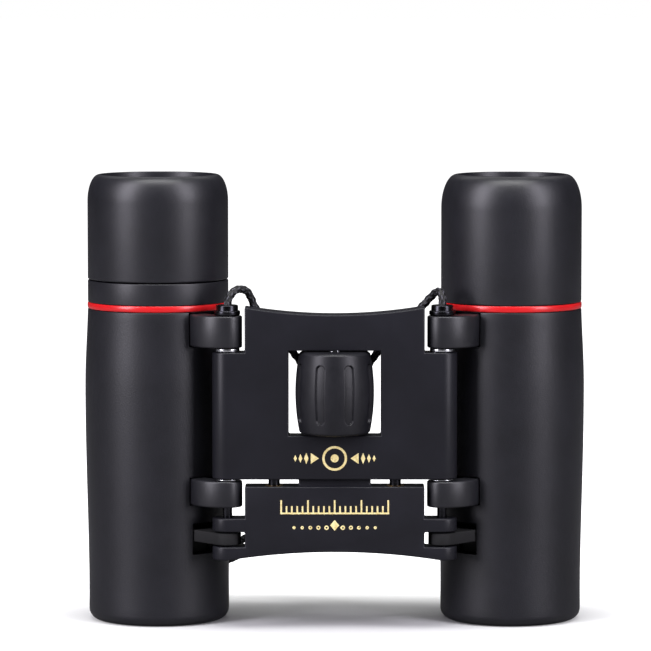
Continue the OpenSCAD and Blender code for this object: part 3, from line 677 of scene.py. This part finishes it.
def eyecup_outline(z0, rim_r, lens_r, bowl_depth):
    """Outline of an eyecup: straight skirt, full round shoulder, thin rim, and a bowl with one step."""
    shoulder_w = barrel_r - rim_r - 0.3
    shoulder_h = 2 * (shoulder_w + 0.3)
    outline = [(tube_r - 1.55, z0, 0.1), (barrel_r, z0, 0.3)]
    for a in range(0, 85, 6):
        turn = math.radians(a)
        outline.append((barrel_r - shoulder_w * (1 - math.cos(turn)),
                        top_z - shoulder_h * (1 - math.sin(turn)), 0))
    outline += [(rim_r + 0.42, top_z, 0.12), (rim_r, top_z, 0.18), (rim_r - 0.1, top_z - 1.3, 0.15),
                (rim_r - 0.55, top_z - 1.5, 0.12)]
    for i in range(1, 8):
        turn = math.radians(90 * i / 7)
        outline.append((rim_r - 0.55 - (rim_r - lens_r - 1.05) * (1 - math.cos(turn)),
                        top_z - 1.5 - (bowl_depth - 1.5) * math.sin(turn), 0))
    outline += [(lens_r + 0.5, top_z - bowl_depth - 1, 0), (tube_r - 1.55, top_z - bowl_depth - 1, 0)]
    return eased(outline)


rim = {"left": 12.15, "right": 11.4}
eye_lens_r = 9.25
cup_depth = 8.8
for side in ("left", "right"):
    cup_low = millimetres(side + "_eyecup")[0]
    skirt_z = cup_low[2] + (0.02 if side == "right" else 0.0)
    cup_outline = eyecup_outline(skirt_z, rim[side], eye_lens_r, cup_depth)
    piece(side + "_soft_eyecup", spun(cup_outline, barrel_axis[side], 192),
          eyecup_rubber, eyecup_body[side], (side + "_eyecup",))


# ---- hinge pins with the cord eyelets, washers ----

for side in ("left", "right"):
    pin_low, pin_high = millimetres(side + "_hinge_pin")
    head_top = pin_high[2]
    head_z = head_top - 2.1
    step_z = 33.5
    outline = eased([
        (0, pin_low[2], 0), (1.0, pin_low[2], 0.35), (1.0, step_z, 0),
        (1.6, step_z, 0.1), (1.6, head_z, 0.05),
        (2.75, head_z, 0.2), (2.75, head_z + 0.9, 0.2), (2.34, head_z + 0.9, 0.1),
        (2.3, head_top, 0.28),
        (0.9, head_top, 0.3), (0.9, head_top - 1.6, 0), (0, head_top - 1.6, 0)])
    piece(side + "_eyelet_pin", spun(outline, pin_axis[side], 64), black_nickel, "bridge",
          (side + "_hinge_pin",))

washers = bmesh.new()
washer_r = 2.6
washer_low, washer_high = millimetres("hinge_washers")
for side in ("left", "right"):
    for z0, z1, hole in ((washer_high[2] - 0.6, washer_high[2], 1.65),
                         (washer_low[2], washer_low[2] + 0.26, 1.05)):
        outline = eased([(hole, z0, 0.06), (washer_r, z0, 0.1), (washer_r, z1, 0.1), (hole, z1, 0.06)])
        ring = spun(outline, pin_axis[side], 64)
        washers.from_mesh(ring)
piece("hinge_washer_set", settled(washers), ground_steel, "bridge", ("hinge_washers",))


# ---- bridge, focus plate, moving lens cells ----

piece("bridge_plate_moulding", softened("bridge_plate", 0.3), bridge_abs, "bridge",
      ("bridge_plate",))
piece("focus_plate_moulding", softened("focus_plate", 0.3), bridge_abs, "focus_slide",
      ("focus_plate",))
for side in ("left", "right"):
    piece(side + "_lens_slide", softened(side + "_objective_cell", 0.2), inner_black,
          side + "_objective", (side + "_objective_cell",))


# ---- focus wheel ----

def wheel_mesh(around=576, up=150):
    """Crowned tyre with eight long thumb grooves, each a capsule pressed in with rounded edges."""
    low, high = millimetres("focus_wheel_grip")
    height = high[2] - low[2]
    big_r = 8.25
    crown = 0.9
    half_l, half_w, depth, wall = 12.5 / 2 - 1.05, 1.05, 0.5, 0.2
    mesh = bmesh.new()
    rings = []
    for i in range(up + 1):
        z = 0.5 + (height - 1.0) * i / up
        base = big_r - crown * (2 * z / height - 1) ** 2
        ring = []
        for k in range(around):
            turn = 2 * math.pi * k / around
            nearest = (math.degrees(turn) - 22.5 + 90 + 22.5) % 45 - 22.5
            x = math.radians(nearest) * big_r
            away = math.hypot(x, max(abs(z - height / 2) - half_l, 0)) - half_w
            r = base - depth * smooth_step(-away / wall + 0.3)
            ring.append((r, z, turn))
        rings.append(ring)
    end_r = big_r - crown - 0.02
    for z, inset in ((0.26, 0.12), (0.08, 0.34), (0.0, 0.62)):
        rings.insert(0, [(end_r - inset, z, t) for _, _, t in rings[0]])
    for z, inset in ((height - 0.26, 0.12), (height - 0.08, 0.34), (height, 0.62)):
        rings.append([(end_r - inset, z, t) for _, _, t in rings[-1]])
    inner = 6.6
    rings.insert(0, [(inner, 0.0, t) for _, _, t in rings[0]])
    rings.append([(inner, height, t) for _, _, t in rings[-1]])
    made = [[mesh.verts.new((r * MM * math.cos(t), hinge_y + r * MM * math.sin(t), (low[2] + z) * MM))
             for r, z, t in ring] for ring in rings]
    made.append(made[0])
    for a, b in zip(made, made[1:]):
        for k in range(around):
            j = (k + 1) % around
            mesh.faces.new((a[k], a[j], b[j], b[k]))
    return settled(mesh)


piece("focus_wheel_tyre", wheel_mesh(), wheel_rubber, "focus_wheel", ("focus_wheel_grip",),
      crease=50)


# ---- gold print: generic marks in three rows, no letters and no figures ----

def stamp(shapes, y, name, body):
    """Flat shapes of (x, z) in mm, raised 0.03 mm off the front face at y."""
    mesh = bmesh.new()
    for shape in shapes:
        back = [mesh.verts.new((x * MM, y, z * MM)) for x, z in shape]
        front = [mesh.verts.new((x * MM, y - 0.03 * MM, z * MM)) for x, z in shape]
        mesh.faces.new(front)
        for i in range(len(shape)):
            j = (i + 1) % len(shape)
            mesh.faces.new((back[i], back[j], front[j], front[i]))
    return piece(name, settled(mesh), gold_print, body)


def bar(x0, x1, z0, z1):
    return [(x0, z0), (x1, z0), (x1, z1), (x0, z1)]


def ring_shapes(x, z, r, thick, pieces=28):
    """A ring as a row of short blocks that touch."""
    out = []
    for k in range(pieces):
        a, b = 2 * math.pi * k / pieces, 2 * math.pi * (k + 1) / pieces
        out.append([(x + (r - thick) * math.cos(a), z + (r - thick) * math.sin(a)),
                    (x + r * math.cos(a), z + r * math.sin(a)),
                    (x + r * math.cos(b), z + r * math.sin(b)),
                    (x + (r - thick) * math.cos(b), z + (r - thick) * math.sin(b))])
    return out


def diamond(x, z, w, h):
    return [(x - w, z), (x, z - h), (x + w, z), (x, z + h)]


# Aim mark on the bridge: a ring round a dot, with a pointer and a row of diamonds on each side
bridge_face = millimetres("bridge_plate")[0][1]
mark_z = 36.5
aim_row = ring_shapes(0, mark_z, 2.6, 0.5) + ring_shapes(0, mark_z, 0.85, 0.84, 20)
for s in (-1, 1):
    aim_row.append([(s * 3.3, mark_z), (s * 5.0, mark_z + 1.15), (s * 5.0, mark_z - 1.15)])
    aim_row += [diamond(s * (5.4 + 1.35 * k), mark_z, 0.5 - 0.08 * k, 1.3 - 0.28 * k)
                for k in (0.4, 1.3, 2.1)]
stamp(aim_row, bridge_face * MM, "gold_aim_marks", "bridge")

# Focus scale and a row of dots on the focus plate
plate_face = millimetres("focus_plate")[0][1]
scale_z = 25.1
scale_pitch = 1.12
tick_w = 0.17         # half the width of a tick
scale_row = [bar(-11.4, 11.4, scale_z - 0.35, scale_z)]
for k in range(-10, 11):
    x = k * scale_pitch
    tall = 2.6 if k % 5 == 0 else 1.35
    scale_row.append(bar(x - tick_w, x + tick_w, scale_z, scale_z + tall))
scale_row += [diamond(0, 22.4, 0.95, 1.15)]
for k in range(1, 6):
    for s in (-1, 1):
        scale_row += ring_shapes(s * k * 1.7, 21.9, 0.52 - 0.04 * k, 0.26, 12)
stamp(scale_row, plate_face * MM, "gold_scale_marks", "focus_slide")


# ---- finishes for the CAD nodes that show as they are ----

def finish(node, material):
    data = nodes[node].data
    if data.materials:
        data.materials[0] = material
    else:
        data.materials.append(material)


finish("guide_rods", black_nickel)
for name in ("focus_screw", "focus_circlip"):
    finish(name, ground_steel)
for name in ("focus_bush", "focus_nut", "guide_bushes"):
    finish(name, turned_brass)
finish("focus_wheel_core", wheel_rubber)
for side in ("left", "right"):
    for part in ("eyepiece_body", "ocular_cell", "lens_spacer", "ocular_ring",
                 "prism_housing", "objective_ring"):
        finish(side + "_" + part, inner_black)
    for part in ("eye_lens", "field_lens"):
        finish(side + "_" + part, ocular_glass)
    for part in ("half_penta_prism", "roof_prism"):
        finish(side + "_" + part, prism_glass)
    for part in ("objective_crown", "objective_flint"):
        finish(side + "_" + part, objective_glass)
    for part in ("prism_retainer", "prism_screws"):
        finish(side + "_" + part, ground_steel)


# ---- studio ----

def studio_floor():
    """Pale paper: it is lit like paper near the object, and a glow that only the camera sees, a painted
    light, fades it up to plain white further off, so the floor is painted darker round the object.
    """
    material, tree, shader, mm = new_finish("pale_studio_paper", {
        "Roughness": 0.7, "Specular IOR Level": 0.1, "Emission Strength": 1.0})
    fibre = add(tree, "ShaderNodeTexNoise", inputs={"Vector": mm, "Scale": 0.02, "Detail": 2.0})
    seen = add(tree, "ShaderNodeLightPath")
    # The camera sees pale paper; the light the floor bounces onto the object comes from a darker grey, which
    # dims that bounce.
    tone = add(tree, "ShaderNodeMix", {"data_type": "RGBA"}, {
        "Factor": seen.outputs["Is Camera Ray"], 6: linear("#7a7a7a"),
        7: two_tones(tree, fibre.outputs["Fac"], "#a9a9a9", "#adadad")})
    set_input(tree, shader, "Base Color", tone.outputs[2])
    # Painted light: a glow seen only by the camera, none near the object and rising to full white further
    # off, which paints the floor darker round the object.
    squeezed = add(tree, "ShaderNodeVectorMath", {"operation": "MULTIPLY_ADD"},
                   {0: mm, 1: (0.45, 1.0, 1.0), 2: (0, -4.0, 0)})
    away = add(tree, "ShaderNodeVectorMath", {"operation": "LENGTH"}, {0: squeezed.outputs["Vector"]})
    fade = add(tree, "ShaderNodeMapRange", {"interpolation_type": "SMOOTHSTEP"}, {
        "Value": away.outputs["Value"], "From Min": 14.0, "From Max": 44.0, "To Min": 0.0, "To Max": 1.1})
    painted_floor_glow = add(tree, "ShaderNodeMath", {"operation": "MULTIPLY"},
               {0: fade.outputs["Result"], 1: seen.outputs["Is Camera Ray"]})
    set_input(tree, shader, "Emission Color", painted_floor_glow.outputs["Value"])
    mesh = bmesh.new()
    bmesh.ops.create_grid(mesh, x_segments=2, y_segments=2, size=12)
    data = bpy.data.meshes.new("studio_floor")
    mesh.to_mesh(data)
    mesh.free()
    data.materials.append(material)
    floor = bpy.data.objects.new("studio_floor", data)
    bpy.context.scene.collection.objects.link(floor)


def softbox(name, place, aim, width, height, power, tint=(0.93, 0.9, 1.0)):
    light = bpy.data.lights.new(name, "AREA")
    light.shape = "RECTANGLE"
    light.size, light.size_y, light.energy = width, height, power
    light.color = tint
    lamp = bpy.data.objects.new(name, light)
    lamp.location = place
    lamp.rotation_euler = (Vector(aim) - Vector(place)).to_track_quat("-Z", "Y").to_euler()
    lamp.visible_camera = False
    bpy.context.scene.collection.objects.link(lamp)


studio_floor()
softbox("left_softbox", (-0.61, -0.45, 0.42), (0, 0, 0.08), 0.3, 0.8, 10.5)
softbox("right_softbox", (0.58, -0.48, 0.42), (0, 0, 0.08), 0.28, 0.8, 8.5)
softbox("top_softbox", (0, -0.31, 0.95), (0, 0, 0), 0.85, 0.34, 11, (1.0, 1.0, 1.0))
softbox("back_softbox", (0, 0.5, 0.8), (0, 0, 0), 1.0, 0.4, 2, (1.0, 1.0, 1.0))

world = bpy.data.worlds.new("studio_world")
world.use_nodes = True
sky = world.node_tree
sky.nodes.clear()
seen = add(sky, "ShaderNodeLightPath")
strength = add(sky, "ShaderNodeMapRange", inputs={
    "Value": seen.outputs["Is Camera Ray"], "To Min": 0.05, "To Max": 1.0})
paper = add(sky, "ShaderNodeBackground", inputs={
    "Color": (1, 1, 1, 1), "Strength": strength.outputs["Result"]})
add(sky, "ShaderNodeOutputWorld", inputs={"Surface": paper.outputs["Background"]})
bpy.context.scene.world = world
